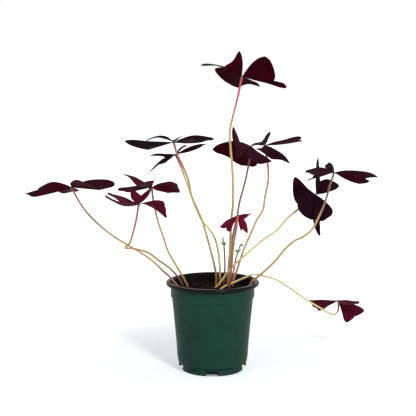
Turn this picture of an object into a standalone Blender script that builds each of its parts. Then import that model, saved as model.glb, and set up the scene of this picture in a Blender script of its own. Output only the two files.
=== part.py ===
"""Potted purple shamrock: nursery pot, soil, rhizomes, leaf stalks, leaflets and flower stalks.

Every place in the tables is in millimetres from the pot's axis on the surface that it stands on:
+X to the right, +Y to the back, +Z up. The objects themselves are in metres, and a parent empty
sets the pot's axis aside so that the middle of the whole plant stands over the origin.
"""

import bmesh
import bpy
import numpy as np
from mathutils import Vector

MM = 0.001
GAP = 0.3  # clearance between touching pieces, mm

# The pot's axis, from the middle of the whole object, mm
AXIS_X = 16.5
AXIS_Y = -8.0

# Pot, mm
RIM_RADIUS = 57.0
RIM_TOP = 110.0
RIM_LIP = 4.6
WALL = 1.2
COLLAR_RADIUS = 51.3
COLLAR_FOOT = 91.0
WAIST = [(46.7, 60.0), (44.4, 35.0)]  # radius and height of the wall on its way down
SHOULDER_RADIUS = 42.3
SHOULDER_HEIGHT = 9.8
FOOT_RADIUS = 37.3
FOOT_WALL = 2.4
FLOOR_UNDER = 9.3
FLOOR_TOP = 10.7
NOTCH_WIDTH = 16.0
NOTCH_HEIGHT = 5.4
NOTCHES = 4
LUG_DEPTH = 6.5
LUG_WIDTH = 5.0
LUG_THICKNESS = 3.2
TURN_STEPS = 48

# Soil, mm
SOIL_TOP = 101.0

# Rhizomes: middle x, y, z, half sizes along x, y, z in mm, and turn about the vertical in degrees
RHIZOMES = {
    "rhizome_left": ((-35.0, 5.0, 95.0), (11.5, 8.0, 6.3), 0.0),
    "rhizome_middle": ((14.0, 3.0, 95.0), (16.0, 19.0, 6.5), 0.0),
    "rhizome_right": ((41.0, -5.0, 96.0), (5.5, 5.5, 5.0), 0.0),
}
PIT_RISE = 12.0  # straight part of a pit above the rhizome's waist

# Leaves
BLADE = 0.5  # thickness of a leaflet
START = 1.7  # a leaflet begins this far from the top of its stalk
LENGTH_STEPS = 4
WIDTH_STEPS = 3
STALK_POINTS = 14
STALK_TIP = 0.85  # radius

# Each leaf: the rhizome that it grows from, the radius of its stalk at the base, the stalk's
# base (x, y), the points that it passes up to the hub, and its three leaflets. A leaflet gives,
# from the hub, the end of its midrib, its left corner and its right corner (as seen along the
# midrib with the upper side up), each with the height by which that line bows upward midway.
# A corner also gives how full the blade's edge is between it and the midrib: above 0 the edge
# swells past the straight line, and below 0 it is hollow.
LEAVES = {
    "top": {
        "rhizome": "rhizome_middle",
        "radius": 1.4,
        "base": (18, 2),
        "stalk": [(19, 1, 116), (21, -5, 147), (22, -14, 182), (24, -22, 206), (24, -27, 232),
                  (23, -30, 252), (21, -30, 275), (20, -30, 294), (24, -30, 314), (29, -30, 334),
                  (34, -30, 359)],
        "leaflets": [
            [(-23, -20, 12, 0), (-2, -30, 32, 0, -0.12), (-52, 8, 12, 7, 0.02)],
            [(-4.5, 28, -15, 0), (-33, 24, 10, 1, 0.18), (24, 28, -13, 3, -0.28)],
            [(37, -8, -5, 0), (54, 6, -14, 1, 0), (26, -25, 27, 2, 0.06)],
        ],
    },
    "upper_left": {
        "rhizome": "rhizome_middle",
        "radius": 1.1,
        "base": (4, 6),
        "stalk": [(4, 3, 119), (-1, -2, 142), (-7, -8, 166), (-13, -13, 187), (-18, -17, 200),
                  (-25, -21, 217), (-29, -25, 237), (-35, -28, 253), (-42, -30, 268),
                  (-46, -30, 282)],
        "leaflets": [
            [(-31, -14, -8, 0), (-26, -36, -3, 0, 0), (-61, 12, 2, 0, 0.09)],
            [(-3, 36, -1, 0), (-37, 31, 0, 4, -0.3), (11, 38, 5, 1, 0)],
            [(30, -16, 1, -1), (50, 14, 3, 6, 0), (20, -38, 9, 0, 0)],
        ],
    },
    "thin_left": {
        "rhizome": "rhizome_middle",
        "radius": 1.1,
        "base": (9, 14),
        "stalk": [(9, 15, 123), (7, 15, 143), (3, 15, 159), (-4, 15, 171), (-13, 15, 182),
                  (-21, 15, 199), (-28, 15, 218), (-37, 15, 244), (-45, 15, 263)],
        "leaflets": [
            [(-12, -28, -6.5, 0), (-34.5, -12, -24.5, 3, -0.1), (-33, -10, 0.7, 1.2, -0.4)],
            [(7, 33, 3.5, 1), (2, 40, -1, 0, 0), (14, 27, 9.5, 1, 0)],
            [(28, 4, 10, 0), (40, 26, 9, 2, 0), (33, -22, 14.5, 0.5, 0)],
        ],
    },
    "far_left": {
        "rhizome": "rhizome_left",
        "radius": 1.1,
        "base": (-42, 5),
        "stalk": [(-46, 5, 106), (-53, 6, 114), (-60, 7, 120), (-75, 8, 134), (-91, 8, 145),
                  (-106, 8, 154), (-120, 7, 163), (-136, 6, 176), (-150, 5, 190),
                  (-161, 5, 205), (-171, 5, 224)],
        "leaflets": [
            [(-46, -8, -11, -1), (-34.5, -32, 6, 5.5, -0.05), (-60, 14, -8, 2, 0)],
            [(-14, 32, -12, 0), (-27, 26, -6, 0, 0), (8, 34, -8, 0, 0)],
            [(37, -18, -1, 0), (53.5, 14, 3.5, 7, 0.05), (9.5, -40, 14, 0, 0)],
        ],
    },
    "mid_left": {
        "rhizome": "rhizome_left",
        "radius": 1.1,
        "base": (-30, 2),
        "stalk": [(-35, 1, 112), (-45, -1, 130), (-54, -4, 147), (-60, -6, 166), (-65, -8, 181),
                  (-69, -9, 198), (-72, -10, 215), (-73, -10, 226)],
        "leaflets": [
            [(-14, -34, 7.5, 0), (5, -36, 14, 0, 0.1), (-34, -24, 21, -1, -0.1)],
            [(-28, -10, -4, 0), (-22, -17, -2, 0, 0), (-44, 16, -5, 2, 0)],
            [(35, 6, -8, 2), (15, 24, -10, 0, -0.2), (30, -30, 9, 3, -0.03)],
        ],
    },
    "low_left": {
        "rhizome": "rhizome_left",
        "radius": 1.0,
        "base": (-36, 8),
        "stalk": [(-42, 1, 114), (-52, -9, 127), (-65, -20, 139), (-77, -30, 150), (-92, -38, 156),
                  (-103, -42, 158), (-98, -43, 164), (-94, -44, 176), (-90, -45, 192),
                  (-87, -45, 210)],
        "leaflets": [
            [(-18, -28, 6, 0), (-40, -12, 12.3, -6, -0.15), (-39, -2, 15.5, 0.5, -0.2)],
            [(4, -31, 11, 0), (15, -28, 21, 0, 0), (-4, -26, 20, 0, 0)],
            [(32, 0, -2, 2), (32, 16, -20, 8.5, 0), (28, -22, 8, 1, 0)],
        ],
    },
    "big_right": {
        "rhizome": "rhizome_middle",
        "radius": 1.2,
        "base": (19, 9),
        "stalk": [(20, 9, 114), (23, 9, 150), (26, 9, 170), (30, 9, 188), (33, 10, 206),
                  (40, 12, 232), (45, 14, 258), (47, 15, 273)],
        "leaflets": [
            [(-15, 24, -26, 0), (-51.5, 12, -5.5, 8.5, -0.08), (10, 29, -28, 0, 0)],
            [(-22, -30, 4, 2), (-20, -34, -13, 0, 0), (-23, -14, 25, -12, 0)],
            [(6, -28, -19, 0), (26, -24, -15, 2, 0.03), (-8, -27, -8, 0, 0)],
        ],
    },
    "back_right": {
        "rhizome": "rhizome_middle",
        "radius": 1.1,
        "base": (22, 12),
        "stalk": [(26, 17, 108), (33, 23, 127), (39, 29, 144), (48, 36, 163), (55, 42, 178),
                  (63, 48, 190), (66, 54, 207), (70, 58, 227), (69, 60, 248), (65, 60, 270)],
        "leaflets": [
            [(35, 0, 3.5, -1), (48.5, 14, 4.5, 0, 0), (42.5, -26, 13.5, 1, 0)],
            [(7, -32, -15, 2), (34, -18, -22, 4.5, -0.1), (-13, -28, 0, -2.5, 0)],
            [(-2, 32, 2, 0), (-18, 24, -2, 0, 0), (8, 30, 15, -3, 0)],
        ],
    },
    "outer_right": {
        "rhizome": "rhizome_right",
        "radius": 1.2,
        "base": (43, -6),
        "stalk": [(46.5, -8, 108), (49.5, -9.5, 112.5), (57, -10, 118.5), (73, -13, 134),
                  (87, -18, 152), (98, -22, 163), (107, -26, 168), (118, -30, 178),
                  (125, -32, 192), (133, -34, 212), (138, -35, 231), (143, -35, 247)],
        "leaflets": [
            [(30, -8, -13, -2), (56, 14, -7.5, 5, 0), (39, -28, -6, 0, 0)],
            [(-2, 33, 9, 0), (-8, 36, 2, 0, 0), (1, 38, 4, 0, 0)],
            [(-27, -28, 0, 0), (-37, -34, -7, 0, -0.1), (-35, 4, 1, 5, 0)],
        ],
    },
    "drooping_right": {
        "rhizome": "rhizome_middle",
        "radius": 1.1,
        "base": (3, -5),
        "stalk": [(11, -5, 111), (22, -5, 126), (37, -3, 140), (52, 2, 152), (66, 9, 162),
                  (78, 15, 169), (93, 24, 184), (105, 34, 192), (119, 44, 202), (128, 35, 211)],
        "leaflets": [
            [(-26, -24, -9, 2), (-2, -2, -33, 0, 0.17), (-27, -8, 27, -2, 0.13)],
            [(18, 26, 17, 1), (3, 11, 49, 0, -0.5), (32, 14, 9, 0, 0)],
            [(5, -24, -27, 0), (21, -22, -17, 2, 0.04), (3.5, -24, -48, 0, -0.12)],
        ],
    },
    "small_middle": {
        "rhizome": "rhizome_middle",
        "radius": 1.0,
        "base": (20, -10),
        "stalk": [(23, -22, 133), (24, -33, 152), (26, -44, 170), (28, -52, 185), (29, -50, 198)],
        "leaflets": [
            [(-11, 12, -18, 0), (-21, -2, -11, 0.5, 0), (-8, 14, -21, 0, 0.1)],
            [(12, 20, -5, 0), (8, 16, -7, 0, 0), (17, 16, 0.3, 0.3, 0)],
            [(6, 8, -18, 1), (3.5, 16, -22, 0, 0), (13, 10, -24, 3, 0)],
        ],
    },
    "low_right": {
        "rhizome": "rhizome_middle",
        "radius": 1.0,
        "base": (9, -11),
        "stalk": [(15, -9, 105), (24, -3, 107.5), (32, 5, 109.5), (39, 14, 110.5),
                  (48, 27, 111.6), (57, 31, 111), (67, 34, 108), (80, 34, 104), (93, 34, 96),
                  (107, 34, 86), (120, 34, 77), (135, 34, 68), (145, 35, 62), (152, 37, 59),
                  (157, 40, 61), (159, 46, 65), (159, 50, 74)],
        "leaflets": [
            [(-33, 16, -11, 0), (-40, 4, 0.8, 0, -0.12), (-21, 24, -19, 0, -0.05)],
            [(12, -28, 0, 0), (28, -8, -0.8, 1.5, 0), (-2, -32, 3, 0, 0)],
            [(25, 24, -27, 0), (11, 14, -33, 0, 0), (37, 16, -16, 1, 0)],
        ],
    },
}

# Each flower stalk: base (x, y), the points up to its bract, the bract's half sizes, and the
# points of the bent pedicel above the bract, from the bract's middle
FLOWER_STALKS = {
    "1": {
        "base": (14, 7),
        "stalk": [(15, 9, 120), (15, 9, 134), (14, 8, 151)],
        "bract": (2.6, 1.6, 2.0),
        "pedicel": [(-0.8, 0, 2.6), (-1.2, 0, 5.5), (-1.4, 0, 8)],
    },
    "2": {
        "base": (25, 5),
        "stalk": [(25, 7, 114), (27, 7, 128), (29, 7, 138), (31, 7, 143)],
        "bract": (3.6, 1.6, 2.0),
        "pedicel": [(1.4, 0, 2.8), (2.4, 0, 6), (4.4, 0, 8), (6, 0, 6)],
    },
}
FLOWER_STALK_RADIUS = 0.8
PEDICEL_RADIUS = 0.7


def clear_scene():
    for old in list(bpy.data.objects):
        bpy.data.objects.remove(old, do_unlink=True)


def new_collection(name):
    collection = bpy.data.collections.new(name)
    bpy.context.scene.collection.children.link(collection)
    return collection


def material(name, colour, roughness, metallic=0.0):
    made = bpy.data.materials.new(name)
    made.use_nodes = True
    shader = made.node_tree.nodes["Principled BSDF"]
    shader.inputs["Base Color"].default_value = (*colour, 1.0)
    shader.inputs["Roughness"].default_value = roughness
    shader.inputs["Metallic"].default_value = metallic
    return made


def add_object(name, data, collection, parent, finish=None):
    made = bpy.data.objects.new(name, data)
    collection.objects.link(made)
    made.parent = parent
    if finish:
        data.materials.append(finish)
    return made


def shade_smooth(mesh, angle=40.0):
    mesh.shade_smooth()
    mesh.set_sharp_from_angle(angle=np.radians(angle))


def turned(name, profile, collection, parent, finish=None, steps=TURN_STEPS):
    """Solid of revolution about the pot's axis, from a profile in mm that runs down its outside."""
    mesh = bpy.data.meshes.new(name)
    points = [(radius * MM, 0.0, height * MM) for radius, height in profile]
    mesh.from_pydata(points, [(i, i + 1) for i in range(len(points) - 1)], [])
    made = add_object(name, mesh, collection, parent, finish)
    screw = made.modifiers.new("Turn", "SCREW")
    screw.axis = "Z"
    screw.steps = steps
    screw.render_steps = steps
    screw.use_merge_vertices = True
    screw.merge_threshold = 0.00002
    screw.use_smooth_shade = True
    return made


def cut(target, cutter):
    boolean = target.modifiers.new("Cut_" + cutter.name, "BOOLEAN")
    boolean.operation = "DIFFERENCE"
    boolean.solver = "EXACT"
    boolean.object = cutter


def join(target, addition):
    boolean = target.modifiers.new("Join_" + addition.name, "BOOLEAN")
    boolean.operation = "UNION"
    boolean.solver = "EXACT"
    boolean.object = addition


def tool(name, mesh, collection, parent):
    """A cutter or an addition, which takes part in a Boolean and isn't a piece itself."""
    made = add_object(name, mesh, collection, parent)
    made.hide_render = True
    made.display_type = "WIRE"
    return made


def box_mesh(name, size, middle):
    bm = bmesh.new()
    bmesh.ops.create_cube(bm, size=1.0)
    for vertex in bm.verts:
        vertex.co = Vector([(a * b + c) * MM for a, b, c in zip(vertex.co, size, middle)])
    mesh = bpy.data.meshes.new(name)
    bm.to_mesh(mesh)
    bm.free()
    return mesh


def inner_wall():
    """The inside of the pot's wall from the floor to the collar, as (radius, height) in mm."""
    return [
        (SHOULDER_RADIUS - WALL - 1.8, FLOOR_TOP),
        (SHOULDER_RADIUS - WALL, FLOOR_TOP + 1.8),
        *[(radius - WALL, height) for radius, height in reversed(WAIST)],
        (COLLAR_RADIUS - 1.7 - WALL, COLLAR_FOOT - 0.4),
        (COLLAR_RADIUS - WALL, COLLAR_FOOT + 1.4),
    ]


def make_pot(parts, tools, parent, finish):
    lip_under = RIM_TOP - RIM_LIP
    inside = [(0.0, FLOOR_TOP)] + inner_wall() + [(COLLAR_RADIUS - WALL, lip_under)]
    rim = [
        (COLLAR_RADIUS - 0.3, RIM_TOP - 1.2),
        (COLLAR_RADIUS + 0.9, RIM_TOP),
        (RIM_RADIUS - 1.6, RIM_TOP),
        (RIM_RADIUS - 0.4, RIM_TOP - 0.9),
        (RIM_RADIUS, RIM_TOP - 2.3),
        (RIM_RADIUS - 0.4, lip_under + 0.7),
        (RIM_RADIUS - 1.5, lip_under),
    ]
    outside = [
        (COLLAR_RADIUS + 0.1, lip_under),
        (COLLAR_RADIUS, COLLAR_FOOT + 0.4),
        (COLLAR_RADIUS - 1.5, COLLAR_FOOT - 0.9),
        *WAIST,
        (SHOULDER_RADIUS + 0.9, SHOULDER_HEIGHT + 7.0),
        (SHOULDER_RADIUS - 0.3, SHOULDER_HEIGHT),
        (FOOT_RADIUS - 0.8, SHOULDER_HEIGHT - 0.6),
        (FOOT_RADIUS - 0.6, 5.0),
        (FOOT_RADIUS + 0.5, 1.0),
        (FOOT_RADIUS, 0.0),
        (FOOT_RADIUS - FOOT_WALL - 1.0, 0.0),
        (FOOT_RADIUS - FOOT_WALL - 0.6, FLOOR_UNDER),
        (0.0, FLOOR_UNDER),
    ]
    pot = turned("pot", inside + rim + outside, parts, parent, finish)
    for number in range(NOTCHES):
        length = 14.0
        middle = (0.0, -FOOT_RADIUS + 2.0, NOTCH_HEIGHT / 2 - 1.0)
        mesh = box_mesh("notch", (NOTCH_WIDTH, length, NOTCH_HEIGHT + 2.0), middle)
        notch = tool(f"notch_{number}", mesh, tools, parent)
        notch.rotation_euler.z = 2 * np.pi * number / NOTCHES
        cut(pot, notch)
    for side in (-1, 1):
        size = (LUG_THICKNESS, LUG_WIDTH, LUG_DEPTH)
        middle = (side * (SHOULDER_RADIUS - 2.6), 0.0, SHOULDER_HEIGHT + 0.5 - LUG_DEPTH / 2)
        lug = tool(f"lug_{side}", box_mesh("lug", size, middle), tools, parent)
        join(pot, lug)
    return pot


def soil_surface(radius):
    """Height of the soil's top at a distance from the axis, mm."""
    return SOIL_TOP + 0.5 * np.cos(radius / 9.0) - 0.0006 * radius**2


def make_soil(parts, tools, parent, finish):
    edge = COLLAR_RADIUS - WALL - GAP
    top = [(radius, soil_surface(radius)) for radius in (0.0, 10.0, 20.0, 30.0, 40.0, 46.0)]
    side = [(radius - GAP, height + GAP) for radius, height in reversed(inner_wall())]
    profile = top + [(edge, SOIL_TOP - 2.0)] + side + [(0.0, FLOOR_TOP + GAP)]
    soil = turned("soil", profile, parts, parent, finish)
    for name, (middle, half, turn) in RHIZOMES.items():
        pit = ellipsoid(f"pit_{name}", [size + GAP for size in half], rise=PIT_RISE)
        cutter = tool(f"pit_{name}", pit, tools, parent)
        cutter.location = Vector(middle) * MM
        cutter.rotation_euler.z = np.radians(turn)
        cut(soil, cutter)
    return soil


def ellipsoid(name, half, rise=0.0, around=20, up=10):
    """Ball with the given half sizes in mm. Its upper half is lifted by rise, which makes it a pit."""
    bm = bmesh.new()
    bmesh.ops.create_uvsphere(bm, u_segments=around, v_segments=up, radius=1.0)
    for vertex in bm.verts:
        lift = rise if vertex.co.z > 0.01 else 0.0
        vertex.co = Vector([a * b * MM for a, b in zip(vertex.co, half)]) + Vector((0, 0, lift * MM))
    mesh = bpy.data.meshes.new(name)
    bm.to_mesh(mesh)
    bm.free()
    shade_smooth(mesh)
    return mesh


def make_rhizome(name, parts, parent, finish):
    middle, half, turn = RHIZOMES[name]
    made = add_object(name, ellipsoid(name, half), parts, parent, finish)
    made.location = Vector(middle) * MM
    made.rotation_euler.z = np.radians(turn)
    return made


def rhizome_top(name, x, y):
    """Height of a rhizome's upper side above the point (x, y), mm."""
    middle, half, turn = RHIZOMES[name]
    angle = np.radians(turn)
    dx, dy = x - middle[0], y - middle[1]
    along = (dx * np.cos(angle) + dy * np.sin(angle)) / half[0]
    across = (dy * np.cos(angle) - dx * np.sin(angle)) / half[1]
    return middle[2] + half[2] * np.sqrt(max(0.0, 1.0 - along**2 - across**2))


def stalk_foot(rhizome, base, toward, radius):
    """Start of a stalk: there its end, square to a path that leans toward a point, clears the rhizome."""
    x, y = base
    turns = np.linspace(0.0, 2 * np.pi, 8, endpoint=False)
    top = max(rhizome_top(rhizome, x + radius * np.cos(a), y + radius * np.sin(a)) for a in turns)
    lean = min(1.0, np.hypot(toward[0] - x, toward[1] - y) / (toward[2] - top))
    return (x, y, top + GAP + 0.5 * radius * lean)


def smooth_path(points, count):
    """Points evenly spread along a smooth curve through the given ones (Catmull-Rom)."""
    given = np.array(points, float)
    ends = np.vstack([2 * given[0] - given[1], given, 2 * given[-1] - given[-2]])
    fine = []
    for i in range(1, len(ends) - 2):
        a, b, c, d = ends[i - 1 : i + 3]
        for u in np.linspace(0.0, 1.0, 12, endpoint=False):
            fine.append(0.5 * (2 * b + (c - a) * u + (2 * a - 5 * b + 4 * c - d) * u**2
                               + (3 * b - 3 * c + d - a) * u**3))
    fine.append(given[-1])
    fine = np.array(fine)
    run = np.concatenate([[0.0], np.cumsum(np.linalg.norm(np.diff(fine, axis=0), axis=1))])
    wanted = np.linspace(0.0, run[-1], count)
    return np.column_stack([np.interp(wanted, run, fine[:, axis]) for axis in range(3)])


def tube(name, points, radii, parts, parent, finish):
    """Round stem along points in mm, as a curve with its own radius at each point."""
    curve = bpy.data.curves.new(name, "CURVE")
    curve.dimensions = "3D"
    curve.bevel_depth = MM
    curve.bevel_resolution = 2
    curve.use_fill_caps = True
    spline = curve.splines.new("POLY")
    spline.points.add(len(points) - 1)
    for place, point, radius in zip(spline.points, points, radii):
        place.co = (*(np.array(point) * MM), 1.0)
        place.radius = radius
    spline.use_smooth = True
    return add_object(name, curve, parts, parent, finish)


def make_stalk(leaf, parts, parent, finish):
    data = LEAVES[leaf]
    foot = stalk_foot(data["rhizome"], data["base"], data["stalk"][0], data["radius"])
    count = STALK_POINTS + 2 * max(0, len(data["stalk"]) - 10)
    points = smooth_path([foot] + data["stalk"], count)
    radii = data["radius"] + (STALK_TIP - data["radius"]) * np.linspace(0.0, 1.0, count) ** 0.8
    return tube(f"stalk_{leaf}", points, radii, parts, parent, finish)


def bowed(line, share):
    """Point at a share of the way along a line from the hub that bows upward midway."""
    x, y, z, bow = line
    return np.array([x * share, y * share, z * share + bow * 4.0 * share * (1.0 - share)])


def blade_point(leaflet, along, across):
    """Point on a leaflet, from the hub: along runs 0 to 1, across runs -1 (right) to 1 (left)."""
    midrib, left, right = leaflet
    corner = left if across > 0 else right
    side = abs(across)
    reach = 1.0 + corner[4] * np.sin(np.pi * side)
    length = np.linalg.norm(midrib[:3])
    share = START / length + (reach - START / length) * along
    return (1.0 - side) * bowed(midrib, share) + side * bowed(corner[:4], share)


def droops(leaflet):
    """True where the halves of a leaflet hang below its midrib's ridge, False where they rise."""
    midrib, left, right = (np.array(line[:3], float) for line in leaflet)
    return np.dot(left, np.cross(right, midrib)) < 0.0


def make_leaflet(leaf, number, parts, parent, finish):
    name = f"leaflet_{leaf}_{number + 1}"
    leaflet = LEAVES[leaf]["leaflets"][number]
    hub = np.array(LEAVES[leaf]["stalk"][-1], float)
    bm = bmesh.new()
    bmesh.ops.create_grid(bm, x_segments=2 * WIDTH_STEPS, y_segments=LENGTH_STEPS, size=1.0)
    for vertex in bm.verts:
        across, along = -vertex.co.x, (vertex.co.y + 1.0) / 2.0
        vertex.co = Vector((hub + blade_point(leaflet, along, across)) * MM)
    mesh = bpy.data.meshes.new(name)
    bm.to_mesh(mesh)
    bm.free()
    shade_smooth(mesh)
    made = add_object(name, mesh, parts, parent, finish)
    solid = made.modifiers.new("Blade", "SOLIDIFY")
    solid.thickness = BLADE * MM
    solid.offset = 1.0 if droops(leaflet) else -1.0  # away from the fold, so that it stays open
    return made


def make_flower_stalk(number, parts, parent, finishes):
    data = FLOWER_STALKS[number]
    foot = stalk_foot("rhizome_middle", data["base"], data["stalk"][0], FLOWER_STALK_RADIUS)
    points = smooth_path([foot] + data["stalk"], 9)
    tube(f"flower_stalk_{number}", points, [FLOWER_STALK_RADIUS] * 9, parts, parent, finishes["pink"])
    half = data["bract"]
    middle = np.array(data["stalk"][-1], float) + (0.0, 0.0, half[2] + GAP)
    bract = add_object(f"bract_{number}", ellipsoid("bract", half, around=12, up=8), parts, parent,
                       finishes["bract"])
    bract.location = Vector(middle * MM)
    pedicel = smooth_path([middle + np.array(step) for step in data["pedicel"]], 6)
    tube(f"pedicel_{number}", pedicel, [PEDICEL_RADIUS] * 6, parts, parent, finishes["dark"])


def main():
    clear_scene()
    parts = new_collection("potted_purple_shamrock")
    tools = new_collection("cutters")
    origin = bpy.data.objects.new("pot_axis", None)
    parts.objects.link(origin)
    origin.location = (AXIS_X * MM, AXIS_Y * MM, 0.0)

    make_pot(parts, tools, origin, material("pot_plastic", (0.020, 0.055, 0.043), 0.45))
    make_soil(parts, tools, origin, material("soil", (0.012, 0.008, 0.006), 0.95))
    rhizome = material("rhizome", (0.25, 0.12, 0.08), 0.8)
    for name in RHIZOMES:
        make_rhizome(name, parts, origin, rhizome)
    stalk = material("stalk", (0.55, 0.35, 0.24), 0.5)
    blade = material("leaflet", (0.030, 0.004, 0.010), 0.45)
    for leaf in LEAVES:
        make_stalk(leaf, parts, origin, stalk)
        for number in range(3):
            make_leaflet(leaf, number, parts, origin, blade)
    finishes = {
        "pink": material("flower_stalk", (0.50, 0.20, 0.24), 0.5),
        "bract": material("bract", (0.16, 0.22, 0.04), 0.6),
        "dark": material("pedicel", (0.10, 0.03, 0.04), 0.6),
    }
    for number in FLOWER_STALKS:
        make_flower_stalk(number, parts, origin, finishes)


if __name__ == "__main__":
    main()
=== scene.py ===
"""Looks of a potted purple shamrock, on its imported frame: pot, soil, stalks, leaflets and stage.

Laid out as an add-on and run as a script. Places in the tables are in millimetres from the pot's
axis on the surface that it stands on, +X to the right, +Y to the back, +Z up.
"""

import math
from collections import namedtuple

import bpy
import numpy as np
from bpy.props import FloatProperty, FloatVectorProperty, IntProperty, PointerProperty
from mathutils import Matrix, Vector, noise


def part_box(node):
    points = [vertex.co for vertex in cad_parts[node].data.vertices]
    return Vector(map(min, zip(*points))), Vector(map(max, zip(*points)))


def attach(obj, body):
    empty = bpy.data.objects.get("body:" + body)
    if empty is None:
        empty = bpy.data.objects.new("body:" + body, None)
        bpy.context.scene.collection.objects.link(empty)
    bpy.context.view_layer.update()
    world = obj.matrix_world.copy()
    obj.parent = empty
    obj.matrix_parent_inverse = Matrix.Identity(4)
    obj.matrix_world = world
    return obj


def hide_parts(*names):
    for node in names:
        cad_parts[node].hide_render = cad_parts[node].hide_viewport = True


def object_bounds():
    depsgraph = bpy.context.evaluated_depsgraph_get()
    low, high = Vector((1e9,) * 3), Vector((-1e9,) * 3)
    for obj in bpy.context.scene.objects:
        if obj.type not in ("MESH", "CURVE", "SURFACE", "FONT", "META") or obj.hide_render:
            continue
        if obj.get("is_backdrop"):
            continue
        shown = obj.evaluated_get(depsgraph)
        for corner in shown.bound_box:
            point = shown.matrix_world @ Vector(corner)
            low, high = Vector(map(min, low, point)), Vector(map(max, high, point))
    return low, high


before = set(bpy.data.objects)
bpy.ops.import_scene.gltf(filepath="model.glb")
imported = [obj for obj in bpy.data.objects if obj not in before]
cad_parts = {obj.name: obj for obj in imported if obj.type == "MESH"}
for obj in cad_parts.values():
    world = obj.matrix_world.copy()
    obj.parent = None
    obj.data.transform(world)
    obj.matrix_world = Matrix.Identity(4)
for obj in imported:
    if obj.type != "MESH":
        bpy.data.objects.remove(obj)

bl_info = {
    "name": "Potted Purple Shamrock",
    "version": (1, 0, 0),
    "blender": (4, 5, 0),
    "location": "3D View > Sidebar > Shamrock",
    "description": "Builds a purple shamrock in a nursery pot on its packed frame",
    "category": "Add Mesh",
}

MM = 0.001
WELD = 0.01 * MM  # distance below which vertices merge

WHITE = (1.0, 1.0, 1.0)

# The pot, as the frame holds it
POT_LOW, POT_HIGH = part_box("pot")
AXIS = Vector(((POT_LOW.x + POT_HIGH.x) / 2, (POT_LOW.y + POT_HIGH.y) / 2, 0.0))
RIM_RADIUS = (POT_HIGH.x - POT_LOW.x) / 2 / MM
RIM_TOP = POT_HIGH.z / MM

# Pot, mm
WALL = 1.2
RIM_LIP = 4.6
COLLAR_RADIUS = 51.3
COLLAR_FOOT = 91.0
COLLAR_STEP = 1.7  # how far the wall steps in under the collar
WAIST = [(46.7, 60.0), (44.4, 35.0)]  # radius and height of the wall on its way down
SHOULDER_RADIUS = 42.3
SHOULDER_HEIGHT = 9.8
FOOT_RADIUS = 37.3
FOOT_WALL = 2.4
FLOOR_UNDER = 9.3
FLOOR_TOP = 10.7
NOTCHES = 4
NOTCH_WIDTH = 16.0
NOTCH_HEIGHT = 5.4
NOTCH_DEPTH = 14.0
NOTCH_ROUNDING = 1.4
LUG_SIZE = (3.2, 5.0, 6.5)
LUG_ROUNDING = 0.7
TURN_STEPS = 144
# Height and radius of the border inside which faces are the pot's inner side, from the floor up
LINING = [(FLOOR_TOP, SHOULDER_RADIUS), (35.0, 43.5), (60.0, 45.9),
          (COLLAR_FOOT, COLLAR_RADIUS - 1.0), (RIM_TOP, COLLAR_RADIUS)]
LINING_SLACK = 0.2  # by which a face's middle may lie past a border

# Soil, mm
SOIL_TOP = 101.0
SOIL_GAP = 0.3  # between the soil and the pot
SOIL_DIP = 0.0008  # how the surface falls with the square of the radius
MOUND = 1.6  # how far it rises over a rhizome
SOIL_RINGS = 42
SOIL_STEPS = 160
SOIL_SEED = 7
CRUMB_SHAPES = 6
CRUMB_MARGIN = 2.5  # from the wall
CRUMB_SIZES = (0.9, 1.8)
CRUMB_GROWTH = 2.2  # of the few largest
FIBRE_MARGIN = 8.0
FIBRE_LIFT = 0.5
FIBRE_STEP, FIBRE_BEND = 1.3, 0.5
FIBRE_RADII = [0.12, 0.2, 0.22, 0.2, 0.18, 0.1]

# Rhizomes: middle and half sizes, mm
RHIZOMES = {
    "rhizome_left": ((-35.0, 5.0, 95.0), (11.5, 8.0, 6.3)),
    "rhizome_middle": ((14.0, 3.0, 95.0), (16.0, 19.0, 6.5)),
    "rhizome_right": ((41.0, -5.0, 96.0), (5.5, 5.5, 5.0)),
}

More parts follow.
